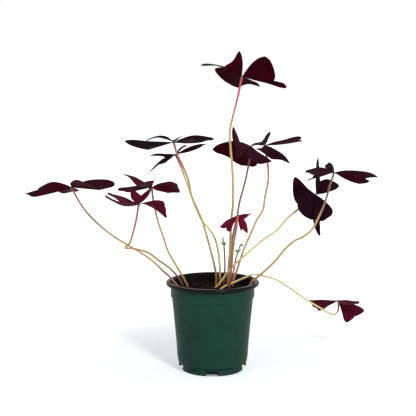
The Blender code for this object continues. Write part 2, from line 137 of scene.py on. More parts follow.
# Each leaf: the radius of its stalk at the foot; the stalk's tone (-1 brown as its foot, 0 tan and
# red, 1 pale); the blush of its top (-1 olive, 0 red, 1 pink); how red and thin its new blades
# are, partly painted light shining through them; the stalk's foot (x, y); the points that it passes
# up to the hub; and its three leaflets. A leaflet gives, from the hub, the end of its midrib, its
# left corner and its right corner (as seen along the midrib with the upper side up), each with the
# height by which that line bows upward midway. A corner may also give how full the blade's outer
# edge is between it and the midrib (above 0 it swells, below 0 it is hollow), how far its side
# edge bellies out and how far that half cups upward. What is left out is 0.
Leaf = namedtuple("Leaf", "radius tone blush fresh foot stalk leaflets")
LEAVES = {
    "top": Leaf(
        1.81, 0.3, 1.0, 0.04, (18, 2),
        [(19, 1, 116), (21, -5, 147), (22, -14, 182), (24, -22, 206), (24, -27, 232),
         (23, -30, 252), (21, -30, 275), (20, -30, 294), (24, -30, 314), (29, -30, 334),
         (34, -30, 359)],
        [[(-23, -20, 12, -1.5), (-2, -30, 32, 0, -0.12, 1.5), (-52, 8, 12, 7, 0.02, 0, 2)],
         [(-4.5, 28, -15), (-34, 24, 10.5, 2.6, 0.18), (25, 28, -12.5, 0, -0.28, 1.5, 1)],
         [(39, -8, -5), (54, 6, -14, -0.5, 0.03, 0, 2.5), (26, -25, 27, 2, 0.08, 1.5, 1)]]),
    "upper_left": Leaf(
        1.43, 0.25, 0.0, 0.0, (4, 6),
        [(4, 3, 119), (-1, -2, 142), (-7, -8, 166), (-13, -13, 187), (-18, -17, 200),
         (-25, -21, 217), (-29, -25, 237), (-35, -28, 253), (-42, -30, 268), (-46, -30, 282)],
        [[(-31, -14, -8), (-26, -36, -3), (-61, 12, 2, 0, 0.09)],
         [(-3, 36, -1), (-38, 31, -1, 5, -0.1, 2, 4), (11, 38, 5, 1, 0, 2)],
         [(30, -16, 1, -1), (50, 14, 3, 6), (20, -38, 9)]]),
    "thin_left": Leaf(
        1.43, 1.0, 0.5, 0.03, (9, 14),
        [(9, 15, 123), (7, 15, 143), (3, 15, 159), (-4, 15, 171), (-13, 15, 182), (-21, 15, 199),
         (-28, 15, 218), (-37, 15, 244), (-45, 15, 263)],
        [[(-12, -28, -7.5), (-38, -12, -27, 3, -0.08, 1, -4), (-33, -10, 0.7, 1.2, -0.4)],
         [(7, 33, 3.5, 1), (2, 40, -1), (14, 27, 9.5, 1, 0, 0, 2)],
         [(28, 4, 10), (40, 26, 9, 2, 0, 0, 3), (33, -22, 14.5, 0.5, 0, 0, -3)]]),
    "far_left": Leaf(
        1.43, 0.2, 0.0, 0.1, (-42, 5),
        [(-46, 5, 106), (-53, 6, 114), (-60, 7, 120), (-75, 8, 134), (-91, 8, 145), (-106, 8, 154),
         (-120, 7, 163), (-136, 6, 176), (-150, 5, 190), (-161, 5, 205), (-171, 5, 224)],
        [[(-46, -8, -11, -1), (-34.5, -32, 6, 5.5, -0.05), (-60, 14, -8, 2)],
         [(-14, 32, -12), (-27, 26, -6), (8, 34, -8)],
         [(37, -18, -1), (53.5, 14, 3.5, 7, 0.05, 1), (9.5, -40, 14, 0, 0, 4, 2)]]),
    "mid_left": Leaf(
        1.43, 0.3, -0.8, 0.3, (-30, 2),
        [(-35, 1, 112), (-45, -1, 130), (-54, -4, 147), (-60, -6, 166), (-65, -8, 181),
         (-69, -9, 198), (-72, -10, 215), (-73, -10, 226)],
        [[(-16, -34, 5.5), (5, -36, 14, 0, 0.1), (-34, -24, 21, 1.5, 0.02, 1.5, 2)],
         [(-28, -10, -5), (-22, -17, -2), (-44, 16, -4.6, 2.7)],
         [(35, 6, -8, 2), (15, 24, -10, 0, -0.2, 4, -2), (30, -30, 9, 3, -0.03, 1, 2)]]),
    "low_left": Leaf(
        1.3, -0.25, 0.0, 0.45, (-36, 8),
        [(-42, 1, 114), (-52, -9, 127), (-65, -20, 139), (-77, -30, 150), (-92, -38, 156),
         (-103, -42, 158), (-98, -43, 164), (-94, -44, 176), (-90, -45, 192), (-87, -45, 210)],
        [[(-18, -27, 6), (-40, -12, 12.3, -6, 0.12), (-39, -2, 15.5, 2)],
         [(4, -20, 14), (15, -20, 23, 0, 0.35, 4, -4.5), (-4, -16.5, 21.5, 0, 0.45, 4, -9.5)],
         [(32, 0, -2, 2), (32, 16, -20, 9, 0, 5, -1), (28, -22, 8, 1, 0, 1, 2)]]),
    "big_right": Leaf(
        1.56, -0.75, 0.0, 0.1, (19, 9),
        [(20, 9, 114), (23, 9, 150), (26, 9, 170), (30, 9, 188), (33, 10, 206), (40, 12, 232),
         (45, 14, 258), (47, 15, 273)],
        [[(-15, 24, -26), (-51.5, 12, -5.5, 8.5, -0.08), (10, 29, -28)],
         [(-22, -30, 4, 2), (-20, -34, -13, 0, 0, 0, 2), (-21, -14, 25, -12, 0.12, -1, 1)],
         [(6, -28, -19), (26, -24, -15, -1.5, 0.03), (-8, -27, -8)]]),
    "back_right": Leaf(
        1.43, 0.2, 0.35, 0.05, (22, 12),
        [(26, 17, 108), (33, 23, 127), (39, 29, 144), (48, 36, 163), (55, 42, 178), (63, 48, 190),
         (66, 54, 207), (70, 58, 227), (69, 60, 248), (65, 60, 270)],
        [[(40, 1, 3.8, -1), (48.5, 12, 4.5, 0, 0.02), (43, -24, 13, 1, 0.06, 1)],
         [(7, -32, -15, 2), (34, -18, -22, 4.5, -0.1), (-13, -28, 0, -2.5, -0.12)],
         [(-2, 32, 2), (-18, 24, -2), (9, 30, 17, -3, 0, 2)]]),
    # This stalk's olive top (blush -1) is painted shade
    "outer_right": Leaf(
        1.56, 0.3, -1.0, 0.06, (43, -6),
        [(46.5, -8, 108), (49.5, -9.5, 112.5), (57, -10, 118.5), (73, -13, 134), (87, -18, 152),
         (98, -22, 163), (107, -26, 168), (118, -30, 178), (125, -32, 192), (133, -34, 212),
         (138, -35, 231), (143, -35, 247)],
        [[(30, -8, -13, -2), (57, 14, -7.5, 5, -0.15, 0, 1), (39, -28, -6, 0, 0.05)],
         [(-3, 33, 9), (-9, 35, 2), (3, 37, 4)],
         [(-27, -28, 0), (-37, -34, -7, 0, -0.1), (-35, 4, 1, 5)]]),
    "drooping_right": Leaf(
        1.43, 0.7, 0.0, 0.02, (3, -5),
        [(11, -5, 111), (22, -5, 126), (37, -3, 140), (52, 2, 152), (66, 9, 162), (78, 15, 169),
         (93, 24, 184), (105, 34, 192), (119, 44, 202), (128, 35, 211)],
        [[(-26, -24, -9, 2), (1.5, -2, -32.5, 0, 0.17), (-27, -8, 27, -2, 0.13)],
         [(18, 26, 17, 1), (3, 11, 49, 0, -0.5, 3), (32, 14, 9, 0, 0, 3)],
         [(4, -24, -31), (21, -22, -17, 2, 0.04), (5.5, -24, -49, 0, 0.05, 3, 8)]]),
    "small_middle": Leaf(
        1.3, -0.3, 0.6, 0.62, (20, -10),
        [(23, -22, 133), (24, -33, 152), (26, -44, 170), (28, -52, 185), (29, -50, 198)],
        [[(-13.5, 9, -16.5), (-21, -2, -11, 0.8, 0.1), (-8, 15, -21, 0, 0.1)],
         [(12, 20, -5), (8, 16, -7), (17, 16, 0.3, 0.3)],
         [(6, 8, -18, 1), (3.5, 16, -22), (13, 10, -24, 3, 0, 3.5)]]),
    "low_right": Leaf(
        1.3, 1.0, 0.0, 0.3, (9, -11),
        [(15, -9, 105), (24, -3, 107.5), (32, 5, 109.5), (39, 14, 110.5), (48, 27, 111.6),
         (57, 31, 111), (67, 34, 108), (80, 34, 104), (93, 34, 96), (107, 34, 86), (120, 34, 77),
         (135, 34, 68), (145, 35, 62), (152, 37, 59), (157, 40, 61), (159, 46, 65), (159, 50, 74)],
        [[(-33, 16, -11), (-40, 4, 0.8, 0, -0.12), (-21, 24, -19, 0, -0.05)],
         [(12, -28, 0), (28, -8, -0.8, 1.5), (-2, -32, 3)],
         [(25, 24, -27), (11, 14, -33), (37, 16, -16, 1, 0, 1.5)]]),
}

# Each flower stalk: its foot (x, y), the points up to its bract, the bract's half sizes, and the
# points of the bent pedicel above the bract, from the bract's middle
FlowerStalk = namedtuple("FlowerStalk", "foot stalk bract pedicel")
FLOWER_STALKS = {
    "1": FlowerStalk((14, 7), [(15, 9, 120), (15, 9, 134), (14, 8, 151)], (2.6, 1.6, 2.0),
                     [(-0.8, 0, 2.6), (-1.2, 0, 5.5), (-1.4, 0, 8)]),
    "2": FlowerStalk((25, 5), [(25, 7, 114), (27, 7, 128), (29, 7, 138), (31, 7, 143)],
                     (3.6, 1.6, 2.0), [(1.4, 0, 2.8), (2.4, 0, 6), (4.4, 0, 8), (6, 0, 6)]),
}
FLOWER_STEM_RADII = np.linspace(1.15, 1.0, 40)
PEDICEL_RADII = np.linspace(0.8, 1.05, 16)
BRACT_SCALES = 5
BRACT_SEED = 3

# Leaf stalks, mm or steps of a stalk
STALK_STEPS = 16  # for each point of its table
STALK_TIP = 1.2
STALK_SWELLING, SWELLING_STEPS = 0.45, 3.0
KNOB_SIZE = (1.35, 1.35, 1.1)
KNOB_STEPS = 2.5

# Blades, mm or shares of a blade
BLADE_START = 1.2
HALF_COLUMNS = 16
BLADE_ROWS = 24
CORNER_START = 0.75
CORNER_ROUNDING = 0.09
CORNER_REACH = 0.06
CORNER_PULL = 0.07
TIP_NOTCH, TIP_WIDTH = 0.05, 0.1
CUP_END = 0.75
RIPPLES_ACROSS, RIPPLES_ALONG = 8.0, 9.0
BLADE_PHASE, LEAF_PHASE = 1.7, 0.9  # by which the ripples shift from one to the next
BLADE_GLOSS = 0.008

# Stage, metres from the pot's axis
CAMERA_ASIDE = -0.0056
SENSOR_WIDTH = 36.0
LAMP_AIM = Vector((0.0, 0.0, 0.18))
KEY_PLACE = (0.62, -1.52, 0.97)
FILL_PLACE = (-1.30, -1.50, 1.00)
KEY_SIZE, FILL_SIZE = 0.32, 1.6
FLOOR_SIZE = 12.0
FLOOR_GLOW = 0.42
FLOOR_FADE = (0.1, 0.5)  # distances between which the floor turns plain white
FOOT_FADE = (0.0355, 0.0375)  # inside the foot ring it doesn't glow


# --- Settings that a user would change ---


def srgb(red, green, blue):
    """Linear colour from the usual 0 to 255 values."""
    def linear(value):
        share = value / 255
        return share / 12.92 if share <= 0.04045 else ((share + 0.055) / 1.055) ** 2.4
    return tuple(linear(value) for value in (red, green, blue))


def colour(name, description, default):
    return FloatVectorProperty(name=name, description=description, subtype="COLOR", size=3,
                               min=0.0, max=1.0, default=default)


def length(name, description, default):
    """A length property, whose default is given in millimetres."""
    return FloatProperty(name=name, description=description, subtype="DISTANCE", unit="LENGTH",
                         min=0.0, default=default * MM)


def skin_roughness(surface):
    return FloatProperty(name="Roughness", description=f"Roughness of {surface}",
                         subtype="FACTOR", min=0.0, max=1.0, default=0.5)


class PotSettings(bpy.types.PropertyGroup):
    outside: colour("Outside", "Green of the pot's outer side", srgb(24, 57, 46))
    inside: colour("Inside", "Black of the rim and the inner side", srgb(15, 12, 11))
    roughness: skin_roughness("the moulded plastic")


class SoilSettings(bpy.types.PropertyGroup):
    dark: colour("Dark", "Colour of the moist potting mix", srgb(20, 13, 11))
    light: colour("Light", "Colour of its dry crumbs and fibres", srgb(96, 66, 45))
    unevenness: length("Unevenness", "Height of the lumps in the soil's surface", 1.6)
    crumbs: IntProperty(name="Crumbs", description="Number of loose crumbs", min=0, default=520)
    fibres: IntProperty(name="Fibres", description="Number of peat fibres", min=0, default=70)


class StalkSettings(bpy.types.PropertyGroup):
    top: colour("Top", "Red of a leaf stalk below its blades", srgb(166, 78, 68))
    middle: colour("Middle", "Tan of a leaf stalk midway", srgb(184, 146, 90))
    pale: colour("Pale", "Pale yellow of a shaded leaf stalk", srgb(218, 200, 134))
    foot: colour("Foot", "Pink brown of a leaf stalk at the soil", srgb(128, 74, 62))
    rose: colour("Rose", "Pink of a blushing leaf stalk below its blades", srgb(188, 68, 82))
    # Olive brown at a stalk's top; on the outer_right leaf's stalk it is painted shade
    olive: colour("Olive", "Olive brown of a leaf stalk that doesn't blush", srgb(110, 76, 42))
    knob: colour("Knob", "Olive of the knob that carries the blades", srgb(96, 72, 34))
    flower: colour("Flower stalk", "Pink of a flower stalk", srgb(186, 92, 104))
    bract: colour("Bract", "Green of a flower stalk's bracts", srgb(128, 182, 62))


class LeafSettings(bpy.types.PropertyGroup):
    upper: colour("Upper side", "Dark purple of a blade's upper side", srgb(28, 13, 22))
    # Red purple of the underside: partly the blade's own colour, partly painted light shining
    # through it
    under: colour("Underside", "Red purple of a blade's underside", srgb(42, 2, 12))
    vein: colour("Veins", "Lighter purple of the veins", srgb(66, 14, 32))
    # Pink red of new, thin blades, partly painted light shining through a blade
    young_backlit_red: colour("Young blade", "Pink red of a young, thin blade", srgb(134, 30, 58))
    roughness: skin_roughness("a blade's skin")
    thickness: length("Thickness", "Thickness of a blade", 0.5)
    ripple: length("Ripple", "Height of the ripples along a blade's edges", 0.7)


class StageSettings(bpy.types.PropertyGroup):
    key: FloatProperty(name="Key", description="Power of the key lamp", unit="POWER", default=20.0)
    fill: FloatProperty(name="Fill", description="Power of the fill lamp", unit="POWER",
                        default=4.0)
    sky: FloatProperty(name="Sky", description="Strength of the light from all round", default=0.4)
    lens: FloatProperty(name="Lens", description="Focal length", unit="CAMERA", default=108.35)
    distance: length("Distance", "From the camera to the pot's axis", 1500.0)
    height: length("Height", "Height of the camera", 417.0)
    tilt: FloatProperty(name="Tilt", description="How far the camera looks down",
                        subtype="ANGLE", unit="ROTATION", default=math.radians(8.25))


# --- Working with objects ---


def added(operator, **settings):
    """The object that one of Blender's add operators makes, alone in the selection."""
    bpy.ops.object.select_all(action="DESELECT")
    operator(**settings)
    return bpy.context.object


def select_only(*pieces):
    bpy.ops.object.select_all(action="DESELECT")
    for piece in pieces:
        piece.select_set(True)
    bpy.context.view_layer.objects.active = pieces[0]


def apply_modifiers(piece):
    select_only(piece)
    for modifier in list(piece.modifiers):
        bpy.ops.object.modifier_apply(modifier=modifier.name)


def joined(pieces):
    select_only(*pieces)
    if len(pieces) > 1:
        bpy.ops.object.join()
    return bpy.context.object


def coat(piece, *skins):
    """Gives a piece its skins, in place of any that it has."""
    piece.data.materials.clear()
    for skin in skins:
        piece.data.materials.append(skin)


def shade(piece, angle=60.0):
    """Smooths a piece where its faces meet at less than an angle in degrees."""
    select_only(piece)
    bpy.ops.object.shade_smooth_by_angle(angle=math.radians(angle))


def settle(piece, name, slot, *nodes):
    """Names a finished piece, puts its place into its mesh and shows it in place of its solids."""
    select_only(piece)
    bpy.ops.object.transform_apply(location=True, rotation=True, scale=True)
    piece.name = name
    piece.data.name = name
    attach(piece, "root")
    if nodes:
        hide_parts(*nodes)


def vertices(piece):
    """The places of a mesh's vertices, one row each."""
    places = np.empty(len(piece.data.vertices) * 3, np.float32)
    piece.data.vertices.foreach_get("co", places)
    return places.reshape(-1, 3).astype(float)


def move_vertices(piece, places):
    piece.data.vertices.foreach_set("co", np.asarray(places, np.float32).ravel())
    piece.data.update()


def store(piece, name, values):
    """Keeps one number for each vertex, for a material to read."""
    attribute = piece.data.attributes.new(name, "FLOAT", "POINT")
    attribute.data.foreach_set("value", np.asarray(values, np.float32))


def face_middles(piece):
    middles = np.empty(len(piece.data.polygons) * 3, np.float32)
    piece.data.polygons.foreach_get("center", middles)
    return middles.reshape(-1, 3)


# --- Shapes ---


def rounded(corners, steps=4):
    """Outline in (radius, height) whose corners, given as (radius, height, fillet), are arcs."""
    outline = []
    for i, (radius, height, *fillet) in enumerate(corners):
        here = Vector((radius, height))
        if not fillet:
            outline.append(here)
            continue
        before = (Vector(corners[i - 1][:2]) - here).normalized()
        after = (Vector(corners[i + 1][:2]) - here).normalized()
        half = before.angle(after) / 2
        reach = fillet[0] / math.tan(half)
        middle = here + (before + after).normalized() * fillet[0] / math.sin(half)
        start = here + before * reach - middle
        turn = start.angle_signed(here + after * reach - middle)
        for step in range(steps + 1):
            angle = -turn * step / steps
            spoke = Vector((start.x * math.cos(angle) - start.y * math.sin(angle),
                            start.x * math.sin(angle) + start.y * math.cos(angle)))
            outline.append(middle + spoke)
    return outline


def turned(outline, steps=TURN_STEPS):
    """Closed solid of revolution about the pot's axis: an outline in mm, extruded and spun."""
    piece = added(bpy.ops.mesh.primitive_plane_add, size=MM)
    bpy.ops.object.mode_set(mode="EDIT")
    bpy.ops.mesh.select_mode(type="VERT")
    bpy.ops.mesh.select_all(action="SELECT")
    bpy.ops.mesh.merge(type="CENTER")
    spots = [Vector((radius * MM, 0.0, height * MM)) for radius, height in outline]
    bpy.ops.transform.translate(value=spots[0])
    for before, after in zip(spots, spots[1:]):
        bpy.ops.mesh.extrude_region_move(TRANSFORM_OT_translate={"value": after - before})
    bpy.ops.mesh.select_all(action="SELECT")
    bpy.ops.mesh.spin(steps=steps, angle=2 * math.pi, center=(0, 0, 0), axis=(0, 0, 1))
    bpy.ops.mesh.select_all(action="SELECT")
    bpy.ops.mesh.remove_doubles(threshold=WELD)
    bpy.ops.mesh.normals_make_consistent(inside=False)
    bpy.ops.object.mode_set(mode="OBJECT")
    piece.location = AXIS
    bpy.ops.object.transform_apply(location=True)
    return piece


def ball(middle, half, segments=24, rings=16):
    """Ball with the given middle and half sizes, mm from the pot's axis."""
    piece = added(bpy.ops.mesh.primitive_uv_sphere_add, segments=segments, ring_count=rings,
                  radius=1.0)
    piece.scale = Vector(half) * MM
    piece.location = AXIS + Vector(middle) * MM
    bpy.ops.object.transform_apply(location=True, scale=True)
    return piece


def block(middle, size, rounding, segments, turn=0.0):
    """Block with rounded edges, mm from the pot's axis, turned about its own upright line."""
    piece = added(bpy.ops.mesh.primitive_cube_add, size=1.0)
    piece.scale = Vector(size) * MM
    piece.rotation_euler.z = turn
    piece.location = AXIS + Vector(middle) * MM
    bpy.ops.object.transform_apply(location=True, rotation=True, scale=True)
    bevel = piece.modifiers.new("Round", "BEVEL")
    bevel.width = rounding * MM
    bevel.segments = segments
    apply_modifiers(piece)
    return piece


def smooth_path(points, count):
    """Points evenly spread along a smooth curve through the given ones (Catmull-Rom)."""
    given = np.array(points, float)
    ends = np.vstack([2 * given[0] - given[1], given, 2 * given[-1] - given[-2]])
    fine = []
    for a, b, c, d in zip(ends, ends[1:], ends[2:], ends[3:]):
        for u in np.linspace(0.0, 1.0, 16, endpoint=False):
            fine.append(0.5 * (2 * b + (c - a) * u + (2 * a - 5 * b + 4 * c - d) * u**2
                               + (3 * b - 3 * c + d - a) * u**3))
    fine = np.array(fine + [given[-1]])
    run = np.concatenate([[0.0], np.cumsum(np.linalg.norm(np.diff(fine, axis=0), axis=1))])
    wanted = np.linspace(0.0, run[-1], count)
    return np.column_stack([np.interp(wanted, run, fine[:, axis]) for axis in range(3)])


def tube(points, radii, sides=3):
    """Closed round stem along points in mm from the pot's axis, with its own radius at each."""
    curve = added(bpy.ops.curve.primitive_nurbs_path_add).data
    curve.splines.clear()
    curve.bevel_depth = MM
    curve.bevel_resolution = sides
    curve.use_fill_caps = True
    spline = curve.splines.new("POLY")
    spline.points.add(len(points) - 1)
    for spot, place, radius in zip(spline.points, points, radii):
        spot.co = (*(AXIS + Vector(place) * MM), 1.0)
        spot.radius = radius
    spline.use_smooth = True
    bpy.ops.object.convert(target="MESH")
    bpy.ops.object.mode_set(mode="EDIT")
    bpy.ops.mesh.select_all(action="SELECT")
    bpy.ops.mesh.remove_doubles(threshold=WELD)
    bpy.ops.object.mode_set(mode="OBJECT")
    return bpy.context.object


def share_along(piece, points):
    """How far along a path each vertex of its tube lies, from 0 to 1."""
    path = np.array(points) * MM + np.array(AXIS)
    places = vertices(piece)
    nearest = np.linalg.norm(places[:, None, :] - path[None, :, :], axis=2).argmin(axis=1)
    return nearest / (len(path) - 1)


# --- Materials ---


class Nodes:
    """A node tree, with short ways to add nodes and join them."""

    def __init__(self, tree):
        self.tree = tree

    def put(self, socket, value):
        """Links a socket to another, or sets its value."""
        if isinstance(value, bpy.types.NodeSocket):
            self.tree.links.new(value, socket)
        elif socket.type == "RGBA":
            socket.default_value = (*value, 1.0)
        else:
            socket.default_value = value

    def node(self, kind, inputs, **settings):
        """A new node: its settings, then what is put to its inputs, by name or number."""
        made = self.tree.nodes.new("ShaderNode" + kind)
        for name, value in settings.items():
            setattr(made, name, value)
        for socket, value in inputs.items():
            self.put(made.inputs[socket], value)
        return made.outputs

    def place(self, upright=1.0):
        """Object coordinates in metres, those along Z times a number below 1 for tall patterns."""
        where = self.node("TexCoord", {})["Object"]
        return self.node("Mapping", {"Vector": where, "Scale": (1.0, 1.0, upright)})["Vector"]

    def noise(self, scale, detail=4.0, roughness=0.55, upright=1.0):
        return self.node("TexNoise", {"Vector": self.place(upright), "Scale": scale,
                                      "Detail": detail, "Roughness": roughness})["Fac"]

    def cells(self, scale, feature="F1", upright=1.0):
        return self.node("TexVoronoi", {"Vector": self.place(upright), "Scale": scale},
                         feature=feature)["Distance"]

    def value(self, name):
        """A number that the piece keeps for each vertex."""
        return self.node("Attribute", {}, attribute_name=name)["Fac"]

    def math(self, operation, first, second=0.0):
        return self.node("Math", {0: first, 1: second}, operation=operation)[0]

    def product(self, first, second):
        return self.math("MULTIPLY", first, second)

    def between(self, value, low, high, start=0.0, end=1.0):
        """A value's range brought smoothly to another, and held at its ends."""
        return self.node("MapRange", {"Value": value, "From Min": low, "From Max": high,
                                      "To Min": start, "To Max": end},
                         interpolation_type="SMOOTHSTEP")[0]

    def mix(self, share, first, second):
        """From the first colour to the second, by a share from 0 to 1."""
        return self.node("Mix", {"Factor": share, 6: first, 7: second}, data_type="RGBA")[2]

    def ramp(self, share, stops):
        """Colour along a value, from (place, colour) stops."""
        colours = self.node("ValToRGB", {"Fac": share})["Color"]
        elements = colours.node.color_ramp.elements
        while len(elements) < len(stops):
            elements.new(0.5)
        for element, (spot, tone) in zip(elements, stops):
            element.position = spot
            element.color = (*tone, 1.0)
        return colours

    def seen_directly(self):
        """1 where the camera sees a surface itself, reflected or through glass, otherwise 0."""
        path = self.node("LightPath", {})
        total = path["Is Camera Ray"]
        for name in ("Is Glossy Ray", "Is Transmission Ray"):
            total = self.node("Math", {0: total, 1: path[name]}, operation="ADD", use_clamp=True)[0]
        return total


class Finish(Nodes):
    """A procedural material, built on its shader's roughness and specular level."""

    def __init__(self, name, roughness, specular):
        self.material = bpy.data.materials.new(name)
        self.material.use_nodes = True
        super().__init__(self.material.node_tree)
        self.shader = self.tree.nodes["Principled BSDF"]
        self.set(Roughness=roughness)
        self.put(self.shader.inputs["Specular IOR Level"], specular)

    def set(self, **inputs):
        """Puts values or links to the shader's inputs; an underscore stands for a space."""
        for name, value in inputs.items():
            self.put(self.shader.inputs[name.replace("_", " ")], value)

    def tones(self, share, first, second):
        """Colours the surface from a first tone to a second."""
        self.set(Base_Color=self.mix(share, first, second))

    def bump(self, height, distance, strength=1.0):
        """Raises the surface by a height value, up to a distance in mm."""
        self.set(Normal=self.node("Bump", {"Strength": strength, "Distance": distance * MM,
                                           "Height": height})["Normal"])


def scaled(tone, share):
    """A darker or lighter tone."""
    return tuple(min(1.0, share * part) for part in tone)


def moulded_plastic(name, tone, roughness, specular):
    """Matt moulded plastic: a faint mottle, upright flow streaks and a fine grain."""
    finish = Finish(name, roughness, specular)
    mottle = finish.noise(45.0, detail=5.0)
    streaks = finish.noise(60.0, detail=3.0, upright=0.08)
    light = scaled(tone, 1.16)
    patches = finish.mix(finish.between(mottle, 0.3, 0.7), scaled(tone, 0.86), light)
    shadowed = finish.between(streaks, 0.35, 0.65, 0.0, 0.25)
    finish.tones(shadowed, patches, light)
    finish.set(Roughness=finish.between(mottle, 0.25, 0.75, roughness - 0.07, roughness + 0.09))
    grain = finish.noise(1500.0, detail=2.0)
    finish.bump(finish.math("ADD", grain, finish.product(mottle, 2.0)), 0.06, 0.5)
    return finish.material


def potting_mix(settings):
    """Moist, crumbly soil: dark crumbs, lighter dry ones, and specks of fibre."""
    finish = Finish("potting_mix", 0.95, 0.04)
    lumps = finish.cells(420.0)
    patches = finish.noise(130.0, detail=8.0, roughness=0.7)
    tone = finish.mix(finish.between(patches, 0.5, 0.72), settings.dark, settings.light)
    finish.tones(finish.between(lumps, 0.1, 0.6, 0.0, 0.7), tone, settings.dark)
    finish.bump(finish.math("ADD", lumps, patches), 0.8)
    return finish.material


def fibre(settings):
    finish = Finish("peat_fibre", 0.9, 0.08)
    finish.tones(finish.noise(180.0), settings.dark, settings.light)
    return finish.material


def rhizome_scale(settings):
    """Scaly skin of a rhizome, pink brown with dark gaps."""
    finish = Finish("rhizome_scales", 0.8, 0.3)
    scales = finish.cells(330.0, upright=0.6)
    skin = finish.mix(finish.noise(200.0), srgb(92, 54, 42), srgb(146, 92, 70))
    finish.tones(finish.between(scales, 0.2, 0.6), skin, settings.dark)
    finish.bump(finish.math("SUBTRACT", 1.0, scales), 0.7)
    return finish.material


def stalk_skin(settings):
    """Smooth leaf stalk: tan, redder to its top or as its blush says, and pale in the shade."""
    finish = Finish("stalk_skin", 0.38, 0.45)
    along = finish.value("along")
    red = finish.ramp(along, [(0.0, settings.foot), (0.26, settings.middle),
                              (0.66, settings.middle), (0.88, settings.top), (1.0, settings.top)])
    shaded = finish.ramp(along, [(0.0, settings.middle), (0.1, settings.pale),
                                 (0.85, settings.pale), (1.0, settings.middle)])
    shade = finish.value("tone")
    lit = finish.mix(finish.between(shade, 0.0, 1.0), red, shaded)
    tone = finish.mix(finish.between(shade, 0.0, -1.0), lit, settings.foot)
    blush = finish.value("blush")
    # Pink or olive brown tops by each stalk's blush; the outer_right stalk's olive top is painted
    # shade
    for start, end, full, colour_at in ((0.8, 0.94, 1.0, settings.rose),
                                        (0.6, 0.9, -1.0, settings.olive)):
        share = finish.product(finish.between(along, start, end), finish.between(blush, 0.0, full))
        tone = finish.mix(share, tone, colour_at)
    streaks = finish.noise(160.0, detail=3.0, upright=0.2)
    flecked = finish.mix(finish.between(streaks, 0.4, 0.75, 0.0, 0.18), tone, settings.foot)
    finish.tones(finish.value("knob"), flecked, settings.knob)
    finish.set(Subsurface_Weight=0.15, Subsurface_Scale=0.001)
    finish.bump(streaks, 0.04, 0.6)
    return finish.material


def flower_stalk_skin(settings):
    finish = Finish("flower_stalk_skin", 0.4, 0.4)
    streaks = finish.noise(420.0, upright=0.15)
    finish.tones(finish.between(streaks, 0.3, 0.7), settings.flower,
                 scaled(settings.flower, 0.45))
    finish.bump(streaks, 0.08, 0.5)
    return finish.material


def bract_skin(settings):
    finish = Finish("bract_skin", 0.55, 0.35)
    patches = finish.noise(260.0)
    finish.tones(finish.between(patches, 0.35, 0.65), scaled(settings.bract, 0.6),
                 settings.bract)
    finish.bump(patches, 0.15)
    return finish.material


def pedicel_skin():
    finish = Finish("pedicel_skin", 0.6, 0.3)
    patches = finish.between(finish.noise(300.0), 0.35, 0.65)
    finish.tones(patches, srgb(84, 42, 48), srgb(112, 62, 50))
    return finish.material


def blade_skin(name, tone, settings, vein_share, vein_rise):
    """Leaf skin: veins that fan forward from the midrib, and a fine net between them."""
    roughness = settings.roughness
    finish = Finish(name, roughness, BLADE_GLOSS)
    spread = finish.node("SeparateXYZ", {0: finish.node("TexCoord", {})["UV"]})
    wobble = finish.product(finish.math("SUBTRACT", finish.noise(60.0), 0.5), 0.06)
    side = finish.math("ABSOLUTE", finish.math("SUBTRACT", spread["X"], 0.5))
    forward = finish.math("SUBTRACT", spread["Y"], finish.product(side, 0.95))
    lines = finish.product(finish.math("ADD", forward, wobble), 11.0)
    gap = finish.math("ABSOLUTE", finish.math("SUBTRACT", finish.math("FRACT", lines), 0.5))
    side_veins = finish.between(gap, 0.0, 0.13, 1.0, 0.0)
    midrib = finish.between(side, 0.004, 0.022, 1.0, 0.0)
    net = finish.between(finish.cells(520.0, "DISTANCE_TO_EDGE"), 0.0, 0.14, 0.45, 0.0)
    veins = finish.math("MAXIMUM", midrib, finish.math("MAXIMUM", side_veins, net))

    patches = finish.noise(85.0, detail=6.0, roughness=0.6)
    dark = scaled(tone, 0.62)
    skin = finish.mix(finish.between(patches, 0.3, 0.72), dark, scaled(tone, 1.5))
    # Toward the pink red of new, thin blades, partly painted light shining through them
    young_backlit_red = finish.mix(finish.value("fresh"), skin, settings.young_backlit_red)
    edged = finish.mix(finish.between(spread["Y"], 0.93, 1.0, 0.0, 0.5), young_backlit_red, dark)
    finish.tones(finish.product(veins, vein_share), edged, settings.vein)
    finish.set(Roughness=finish.between(patches, 0.2, 0.8, roughness - 0.06, roughness + 0.08))
    rise = finish.math("ADD", finish.product(veins, vein_rise), finish.noise(900.0))
    finish.bump(rise, 0.16, 0.7)
    return finish.material


# --- Pot ---


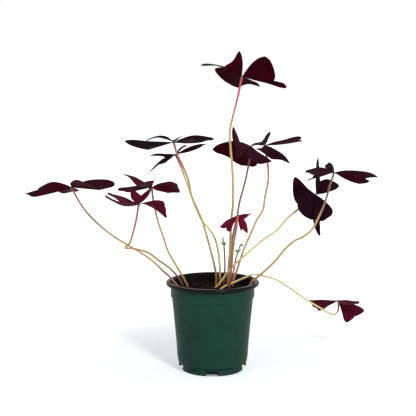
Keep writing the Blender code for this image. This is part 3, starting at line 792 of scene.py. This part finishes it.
def pot_outline():
    """The pot's section, from the middle of its floor up its inside and down its outside."""
    lip_under = RIM_TOP - RIM_LIP
    collar_inside = COLLAR_RADIUS - WALL
    foot_inside = FOOT_RADIUS - FOOT_WALL
    inside = [
        (0.0, FLOOR_TOP),
        (SHOULDER_RADIUS - WALL, FLOOR_TOP, 1.8),
        *[(radius - WALL, height, 20.0) for radius, height in reversed(WAIST)],
        (collar_inside - COLLAR_STEP, COLLAR_FOOT - 0.4, 1.5),
        (collar_inside, COLLAR_FOOT + 1.4, 1.0),
    ]
    rim = [
        (collar_inside, lip_under + 2.6, 2.0),
        (COLLAR_RADIUS + 0.6, RIM_TOP, 1.3),
        (RIM_RADIUS, RIM_TOP, 2.2),
        (RIM_RADIUS, lip_under, 1.5),
    ]
    outside = [
        (COLLAR_RADIUS + 0.1, lip_under, 0.7),
        (COLLAR_RADIUS, COLLAR_FOOT + 0.4, 0.8),
        (COLLAR_RADIUS - 1.5, COLLAR_FOOT - 0.9, 0.6),
        *[(radius, height, 20.0) for radius, height in WAIST],
        (SHOULDER_RADIUS + 0.9, SHOULDER_HEIGHT + 7.0, 8.0),
        (SHOULDER_RADIUS - 0.3, SHOULDER_HEIGHT, 0.5),
        (FOOT_RADIUS - 0.8, SHOULDER_HEIGHT - 0.6, 0.6),
        (FOOT_RADIUS - 0.6, 5.0, 3.0),
        (FOOT_RADIUS + 0.5, 1.0, 0.6),
        (FOOT_RADIUS, 0.0, 0.3),
        (foot_inside - 1.0, 0.0, 0.5),
        (foot_inside - 0.6, FLOOR_UNDER, 1.0),
        (0.0, FLOOR_UNDER),
    ]
    return rounded(inside + rim + outside)


def notch_cutter():
    """Rounded blocks in one object, which open the notches in the foot ring."""
    blocks = []
    for number in range(NOTCHES):
        turn = 2 * math.pi * number / NOTCHES - math.pi / 2
        middle = Vector((math.cos(turn), math.sin(turn), 0.0)) * (FOOT_RADIUS - 2.0)
        blocks.append(block(middle, (NOTCH_DEPTH, NOTCH_WIDTH, NOTCH_HEIGHT * 2),
                            NOTCH_ROUNDING, 3, turn))
    return joined(blocks)


def lugs():
    """The two small tabs under the shoulder, left and right."""
    reach, height = SHOULDER_RADIUS - 2.6, SHOULDER_HEIGHT + 0.5 - LUG_SIZE[2] / 2
    return joined([block((side * reach, 0.0, height), LUG_SIZE, LUG_ROUNDING, 2)
                   for side in (-1, 1)])


def use_on(piece, other, operation):
    """Cuts a piece with another, or joins them, and removes the other."""
    boolean = piece.modifiers.new(operation.title(), "BOOLEAN")
    boolean.operation = operation
    boolean.object = other
    apply_modifiers(piece)
    bpy.data.objects.remove(other, do_unlink=True)


class SHAMROCK_OT_pot(bpy.types.Operator):
    """Turn the nursery pot, cut its foot notches and add its lugs"""
    bl_idname = "shamrock.pot"
    bl_label = "Pot"

    def execute(self, context):
        settings = context.scene.shamrock_pot
        rough = settings.roughness
        pot = turned(pot_outline())
        use_on(pot, notch_cutter(), "DIFFERENCE")
        use_on(pot, lugs(), "UNION")
        coat(pot, moulded_plastic("green_plastic", settings.outside, rough, specular=0.09),
             moulded_plastic("rim_plastic", settings.inside, rough - 0.25, specular=0.08),
             moulded_plastic("inner_plastic", settings.inside, rough + 0.1, specular=0.1))
        shade(pot, 30.0)
        across, deep, height = ((face_middles(pot) - np.array(AXIS)) / MM).T
        radius = np.hypot(across, deep)
        border = np.interp(height, *zip(*LINING))
        lining = (height > FLOOR_TOP - LINING_SLACK) & (radius < border - WALL / 2)
        rim = (height > RIM_TOP - RIM_LIP - LINING_SLACK) & (radius > COLLAR_RADIUS - 0.4)
        kinds = np.where(rim, 1, np.where(lining, 2, 0)).astype(np.int32)
        pot.data.polygons.foreach_set("material_index", kinds)
        settle(pot, "nursery_pot", "pot_plastic", "pot")
        return {"FINISHED"}


# --- Soil and rhizomes ---


def soil_height(x, y, unevenness):
    """Height of the soil's surface at a place in mm from the pot's axis."""
    level = SOIL_TOP - SOIL_DIP * math.hypot(x, y) ** 2
    for (mx, my, _), (hx, hy, _) in RHIZOMES.values():
        level += MOUND * math.exp(-(((x - mx) / hx) ** 2 + ((y - my) / hy) ** 2))
    spot = Vector((x, y, 0.0))
    lumps = noise.fractal(spot * 0.13, 1.0, 2.0, 5) + 0.5 * noise.noise(spot * 0.55)
    return level + lumps * unevenness


def soil_body(unevenness):
    """The soil, whose side follows the pot's wall and whose top is uneven."""
    shell = WALL + SOIL_GAP
    top = [(radius, SOIL_TOP) for radius in np.linspace(0.0, COLLAR_RADIUS - shell, SOIL_RINGS)]
    side = [(COLLAR_RADIUS - COLLAR_STEP - shell, COLLAR_FOOT - 1.0)]
    side += [(radius - shell, height) for radius, height in WAIST]
    side += [(SHOULDER_RADIUS - WALL - 1.5, FLOOR_TOP + 1.0), (0.0, FLOOR_TOP + 0.5)]
    soil = turned(top + side, SOIL_STEPS)
    places = vertices(soil)
    for place in places:
        if place[2] > (SOIL_TOP - 0.5) * MM:
            x, y = (place[0] - AXIS.x) / MM, (place[1] - AXIS.y) / MM
            place[2] = soil_height(x, y, unevenness) * MM
    move_vertices(soil, places)
    return soil


def crumb_shape(number):
    """One lumpy crumb, a millimetre across."""
    crumb = added(bpy.ops.mesh.primitive_ico_sphere_add, subdivisions=2, radius=0.5 * MM)
    places = vertices(crumb)
    for place in places:
        spot = Vector(place) * 1500.0 + Vector((number * 7.0, 0.0, 0.0))
        place *= 1.0 + 0.5 * noise.noise(spot)
    move_vertices(crumb, places)
    return crumb


def scattered(shape, spots, chance):
    """Copies of a shape, each with its own mesh, at spots in mm from the pot's axis."""
    copies = []
    for x, y, z, size in spots:
        copy = shape.copy()
        copy.data = shape.data.copy()
        copy.location = AXIS + Vector((x, y, z)) * MM
        width, height = size * chance.uniform(0.6, 1.0), size * chance.uniform(0.5, 0.9)
        copy.scale = (size, width, height)
        copy.rotation_euler = chance.uniform(0.0, 2 * math.pi, 3)
        bpy.context.scene.collection.objects.link(copy)
        copies.append(copy)
    bpy.data.objects.remove(shape, do_unlink=True)
    return copies


def random_spot(chance, margin):
    """Random place on the soil, mm from the pot's axis."""
    radius = (COLLAR_RADIUS - WALL - margin) * math.sqrt(chance.uniform(0.0, 1.0))
    turn = chance.uniform(0.0, 2 * math.pi)
    return radius * math.cos(turn), radius * math.sin(turn)


def crumbs(count, unevenness, chance):
    copies = []
    for number in range(CRUMB_SHAPES):
        spots = []
        for _ in range(count // CRUMB_SHAPES):
            x, y = random_spot(chance, CRUMB_MARGIN)
            size = chance.uniform(*CRUMB_SIZES) + chance.uniform(0.0, 1.0) ** 4 * CRUMB_GROWTH
            spots.append((x, y, soil_height(x, y, unevenness) + 0.1 * size, size))
        copies += scattered(crumb_shape(number), spots, chance)
    return joined(copies)


def fibres(count, unevenness, chance):
    """Short, bent threads of peat that lie on the soil."""
    made = []
    for _ in range(count):
        x, y = random_spot(chance, FIBRE_MARGIN)
        heading = chance.uniform(0.0, 2 * math.pi)
        points = []
        for _ in FIBRE_RADII:
            lift = FIBRE_LIFT + chance.uniform(0.0, FIBRE_LIFT)
            points.append((x, y, soil_height(x, y, unevenness) + lift))
            heading += chance.uniform(-FIBRE_BEND, FIBRE_BEND)
            x += FIBRE_STEP * math.cos(heading)
            y += FIBRE_STEP * math.sin(heading)
        made.append(tube(points, FIBRE_RADII, sides=1))
    return joined(made)


class SHAMROCK_OT_soil(bpy.types.Operator):
    """Fill the pot with crumbly potting mix, loose crumbs and peat fibres"""
    bl_idname = "shamrock.soil"
    bl_label = "Soil"

    def execute(self, context):
        settings = context.scene.shamrock_soil
        unevenness = settings.unevenness / MM
        chance = np.random.default_rng(SOIL_SEED)
        soil = soil_body(unevenness)
        loose = crumbs(settings.crumbs, unevenness, chance)
        threads = fibres(settings.fibres, unevenness, chance)
        mix = potting_mix(settings)
        for piece in (soil, loose):
            coat(piece, mix)
            shade(piece)
        coat(threads, fibre(settings))
        settle(soil, "potting_mix", "soil", "soil")
        settle(loose, "soil_crumbs", "soil")
        settle(threads, "peat_fibres", "soil")
        return {"FINISHED"}


class SHAMROCK_OT_rhizomes(bpy.types.Operator):
    """Model the scaly rhizomes that the stalks grow from"""
    bl_idname = "shamrock.rhizomes"
    bl_label = "Rhizomes"

    def execute(self, context):
        skin = rhizome_scale(context.scene.shamrock_soil)
        for name, (middle, half) in RHIZOMES.items():
            rhizome = ball(middle, half, segments=64, rings=40)
            places = vertices(rhizome)
            centre = np.array(AXIS) + np.array(middle) * MM
            for place in places:
                scale = 0.95 + 0.07 * noise.cell(Vector(place) * 260.0)
                place[:] = centre + (place - centre) * scale
            move_vertices(rhizome, places)
            coat(rhizome, skin)
            shade(rhizome)
            settle(rhizome, name + "_skin", "rhizome", name)
        return {"FINISHED"}


# --- Stalks ---


def stalk_path(foot, points, count):
    """Smooth path of a stalk, from a foot just under the soil's surface."""
    return smooth_path([(*foot, SOIL_TOP + 0.3)] + points, count)


def leaf_stalk(leaf):
    """Stalk with its knob at the hub, and what its skin reads at each vertex."""
    count = STALK_STEPS * len(leaf.stalk)
    points = stalk_path(leaf.foot, leaf.stalk, count)
    along = np.linspace(0.0, 1.0, count)
    radii = leaf.radius + (STALK_TIP - leaf.radius) * along**0.8
    radii += STALK_SWELLING * np.exp(-((1.0 - along) * count / SWELLING_STEPS))
    stalk = tube(points, radii)
    share = share_along(stalk, points)
    knob = np.clip((share - 1.0) * count / KNOB_STEPS + 1.0, 0.0, 1.0)
    hub = ball(leaf.stalk[-1], KNOB_SIZE, segments=16, rings=12)
    ones = np.ones(len(hub.data.vertices))
    for piece, place, knobbed in ((stalk, share, knob), (hub, ones, ones)):
        store(piece, "along", place)
        store(piece, "tone", np.full(len(place), leaf.tone))
        store(piece, "blush", np.full(len(place), leaf.blush))
        store(piece, "knob", knobbed)
    return joined([stalk, hub])


class SHAMROCK_OT_stalks(bpy.types.Operator):
    """Grow the long leaf stalks, each with the knob that carries its blades"""
    bl_idname = "shamrock.stalks"
    bl_label = "Leaf stalks"

    def execute(self, context):
        skin = stalk_skin(context.scene.shamrock_stalk)
        for name, leaf in LEAVES.items():
            stalk = leaf_stalk(leaf)
            coat(stalk, skin)
            shade(stalk)
            settle(stalk, f"leaf_stalk_{name}", "stalk", f"stalk_{name}")
        return {"FINISHED"}


def bract_leaves(middle, half, chance):
    """Small pointed scales that stand round the top of a flower stalk."""
    made = []
    for number in range(BRACT_SCALES):
        turn = 2 * math.pi * number / BRACT_SCALES + chance.uniform(-0.4, 0.4)
        outward = Vector((math.cos(turn), math.sin(turn), 0.0))
        scale = ball((0, 0, 0), (0.7, 1.3, half[2] * 1.5), segments=12, rings=10)
        bpy.ops.object.origin_set(type="ORIGIN_GEOMETRY")
        scale.rotation_euler = (0.0, chance.uniform(0.5, 1.1), turn)
        lean = outward * half[0] * 0.65 + Vector((0.0, 0.0, half[2] * chance.uniform(-0.2, 0.5)))
        scale.location = AXIS + (Vector(middle) + lean) * MM
        made.append(scale)
    return joined(made)


class SHAMROCK_OT_flower_stalks(bpy.types.Operator):
    """Grow the two short flower stalks with their bracts and bent pedicels"""
    bl_idname = "shamrock.flower_stalks"
    bl_label = "Flower stalks"

    def execute(self, context):
        settings = context.scene.shamrock_stalk
        skins = [flower_stalk_skin(settings), pedicel_skin(), bract_skin(settings)]
        chance = np.random.default_rng(BRACT_SEED)
        for number, data in FLOWER_STALKS.items():
            middle = Vector(data.stalk[-1]) + Vector((0.0, 0.0, data.bract[2] + 0.3))
            points = stalk_path(data.foot, data.stalk, len(FLOWER_STEM_RADII))
            bend = smooth_path([middle + Vector(step) for step in data.pedicel],
                               len(PEDICEL_RADII))
            made = (("flower_stem", "flower_stalk", tube(points, FLOWER_STEM_RADII)),
                    ("bent_pedicel", "pedicel", tube(bend, PEDICEL_RADII)),
                    ("bract_scales", "bract", bract_leaves(middle, data.bract, chance)))
            for (name, slot, piece), skin in zip(made, skins):
                coat(piece, skin)
                shade(piece)
                settle(piece, f"{name}_{number}", slot, f"{slot}_{number}")
        return {"FINISHED"}


# --- Leaflets ---


def bowed(line, share):
    """Points at shares of the way along a line from the hub that bows upward midway."""
    x, y, z, bow = line[:4]
    return np.stack([x * share, y * share, z * share + bow * 4.0 * share * (1.0 - share)], axis=1)


def half_blade(midrib, corner, upward, along, side, ripple, phase):
    """Points of a leaflet's half between its midrib and one corner, mm from the hub."""
    fullness, belly, cup = corner[4:]
    size, span = np.linalg.norm(midrib[:3]), np.linalg.norm(corner[:3])
    reach = 1.0 + fullness * np.sin(np.pi * side) + CORNER_REACH * side**4
    reach -= CORNER_ROUNDING * np.clip((side - CORNER_START) / (1.0 - CORNER_START), 0.0, 1.0) ** 2
    reach -= TIP_NOTCH * np.exp(-((side / TIP_WIDTH) ** 2))
    share = BLADE_START / size + (reach - BLADE_START / size) * along
    turn = side * (1.0 - CORNER_PULL * along**8)
    points = (1.0 - turn)[:, None] * bowed(midrib, share) + turn[:, None] * bowed(corner, share)
    forward, edge = midrib[:3] / size, corner[:3] / span
    outward = edge * np.dot(edge, forward) - forward
    outward /= np.linalg.norm(outward)
    points += (belly * np.sin(np.pi * along) * side**2)[:, None] * outward
    bulge = cup * np.sin(np.pi * side) * np.sin(CUP_END * np.pi * along)
    waves = along**2 * np.sin(RIPPLES_ACROSS * side + phase) * side
    waves += side**3 * np.sin(RIPPLES_ALONG * along + phase)
    return points + (bulge + ripple * waves * along)[:, None] * upward


def leaflet_points(leaflet, along, across, ripple, phase):
    """Points of a whole leaflet, mm from the hub: across runs from -1 (right) to 1 (left)."""
    midrib, left, right = (np.array(line + (0.0,) * (7 - len(line))) for line in leaflet)
    points = np.empty((len(along), 3))
    for corner, chosen, order in ((left, across >= 0.0, 1.0), (right, across < 0.0, -1.0)):
        upward = np.cross(midrib[:3], corner[:3]) * order
        upward /= np.linalg.norm(upward)
        points[chosen] = half_blade(midrib, corner, upward, along[chosen], np.abs(across[chosen]),
                                    ripple, phase)
    return points


def leaflet(leaf, number, phase, settings):
    """One blade: a grid bent to its shape, with a thickness on both of its sides."""
    blade = added(bpy.ops.mesh.primitive_grid_add, x_subdivisions=2 * HALF_COLUMNS,
                  y_subdivisions=BLADE_ROWS, size=2.0)
    flat = vertices(blade)
    points = leaflet_points(leaf.leaflets[number], (flat[:, 1] + 1.0) / 2.0, -flat[:, 0],
                            settings.ripple / MM, phase)
    move_vertices(blade, (points + np.array(leaf.stalk[-1], float)) * MM + np.array(AXIS))
    # How far the blade turns pink red, partly painted light shining through it
    store(blade, "fresh", np.full(len(points), leaf.fresh))
    solid = blade.modifiers.new("Thickness", "SOLIDIFY")
    solid.thickness = settings.thickness
    solid.offset = 0.0
    solid.material_offset = 1
    solid.material_offset_rim = 1
    return blade


class SHAMROCK_OT_leaflets(bpy.types.Operator):
    """Model the three blades of every leaf"""
    bl_idname = "shamrock.leaflets"
    bl_label = "Leaflets"

    def execute(self, context):
        settings = context.scene.shamrock_leaf
        # The underside's red purple is partly painted light shining through the blade
        skins = (blade_skin("blade_upper_skin", settings.upper, settings,
                            vein_share=0.2, vein_rise=-1.2),
                 blade_skin("blade_under_skin", settings.under, settings,
                            vein_share=0.25, vein_rise=1.4))
        for place, (name, leaf) in enumerate(LEAVES.items()):
            for number in range(3):
                phase = BLADE_PHASE * number + LEAF_PHASE * place
                blade = leaflet(leaf, number, phase, settings)
                coat(blade, *skins)
                apply_modifiers(blade)
                shade(blade, 70.0)
                settle(blade, f"blade_{name}_{number + 1}", "leaflet",
                       f"leaflet_{name}_{number + 1}")
        return {"FINISHED"}


# --- Stage ---


def white_world(sky):
    """White behind the object, and a softer white light from all round."""
    world = bpy.data.worlds.new("studio")
    world.use_nodes = True
    nodes = Nodes(world.node_tree)
    light = nodes.tree.nodes["Background"]
    nodes.put(light.inputs["Color"], (0.95, 0.97, 1.0))
    nodes.put(light.inputs["Strength"], sky)
    behind = nodes.node("Background", {"Color": WHITE, "Strength": 1.0})[0]
    both = nodes.node("MixShader", {0: nodes.seen_directly(), 1: light.outputs[0], 2: behind})[0]
    nodes.put(nodes.tree.nodes["World Output"].inputs["Surface"], both)
    bpy.context.scene.world = world


def pale_floor():
    """Pale studio floor that stays white around the object and keeps its shadow."""
    floor = added(bpy.ops.mesh.primitive_plane_add, size=FLOOR_SIZE,
                  location=(AXIS.x, AXIS.y, -0.0003))
    floor.name = "studio_floor"
    finish = Finish("floor_paper", 0.9, 0.1)
    finish.set(Base_Color=(0.9, 0.95, 1.0))
    away = finish.node("VectorMath", {0: finish.place()}, operation="LENGTH")["Value"]
    around = finish.between(away, *FLOOR_FADE, FLOOR_GLOW, 1.0)
    share = finish.product(around, finish.between(away, *FOOT_FADE))
    strength = finish.product(share, finish.seen_directly())
    glow = finish.node("Emission", {"Color": WHITE, "Strength": strength})[0]
    both = finish.node("AddShader", {0: finish.shader.outputs[0], 1: glow})[0]
    finish.put(finish.tree.nodes["Material Output"].inputs["Surface"], both)
    floor.data.materials.append(finish.material)
    floor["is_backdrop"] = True


def lamp(name, place, size, power):
    """Square lamp at a place in metres from the pot's axis, turned to the middle of the plant."""
    light = added(bpy.ops.object.light_add, type="AREA", location=AXIS + Vector(place))
    light.name = name
    light.data.size = size
    light.data.energy = power
    light.rotation_euler = (LAMP_AIM - Vector(place)).to_track_quat("-Z", "Y").to_euler()


class SHAMROCK_OT_stage(bpy.types.Operator):
    """Lay the pale floor, hang the lamps and set up the camera"""
    bl_idname = "shamrock.stage"
    bl_label = "Stage"

    def execute(self, context):
        settings = context.scene.shamrock_stage
        context.scene.view_settings.view_transform = "Standard"
        white_world(settings.sky)
        pale_floor()
        lamp("key_lamp", KEY_PLACE, KEY_SIZE, settings.key)
        lamp("fill_lamp", FILL_PLACE, FILL_SIZE, settings.fill)
        place = (AXIS.x + CAMERA_ASIDE, AXIS.y - settings.distance, settings.height)
        camera = added(bpy.ops.object.camera_add, location=place,
                       rotation=(math.radians(90.0) - settings.tilt, 0.0, 0.0))
        camera.name = "studio_camera"
        camera.data.lens = settings.lens
        camera.data.sensor_width = SENSOR_WIDTH
        context.scene.camera = camera
        return {"FINISHED"}


# --- Add-on ---

OPERATORS = (
    SHAMROCK_OT_pot,
    SHAMROCK_OT_soil,
    SHAMROCK_OT_rhizomes,
    SHAMROCK_OT_stalks,
    SHAMROCK_OT_flower_stalks,
    SHAMROCK_OT_leaflets,
    SHAMROCK_OT_stage,
)

SETTINGS = {
    "shamrock_pot": PotSettings,
    "shamrock_soil": SoilSettings,
    "shamrock_stalk": StalkSettings,
    "shamrock_leaf": LeafSettings,
    "shamrock_stage": StageSettings,
}


class SHAMROCK_PT_panel(bpy.types.Panel):
    """Lists the steps that build the plant, with their settings"""
    bl_idname = "SHAMROCK_PT_panel"
    bl_label = "Potted Purple Shamrock"
    bl_space_type = "VIEW_3D"
    bl_region_type = "UI"
    bl_category = "Shamrock"

    def draw(self, context):
        for operator in OPERATORS:
            self.layout.operator(operator.bl_idname)
        for name, group in SETTINGS.items():
            box = self.layout.box()
            for setting in group.__annotations__:
                box.prop(getattr(context.scene, name), setting)


CLASSES = (*SETTINGS.values(), *OPERATORS, SHAMROCK_PT_panel)


def register():
    for kind in CLASSES:
        bpy.utils.register_class(kind)
    for name, group in SETTINGS.items():
        setattr(bpy.types.Scene, name, PointerProperty(type=group))


def unregister():
    for name in SETTINGS:
        delattr(bpy.types.Scene, name)
    for kind in reversed(CLASSES):
        bpy.utils.unregister_class(kind)


def corners():
    """The object's lowest and highest corners, as plain lists."""
    return [list(corner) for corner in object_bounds()]


def main():
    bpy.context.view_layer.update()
    register()
    for operator in OPERATORS:
        group, name = operator.bl_idname.split(".")
        getattr(getattr(bpy.ops, group), name)()


if __name__ == "__main__":
    main()
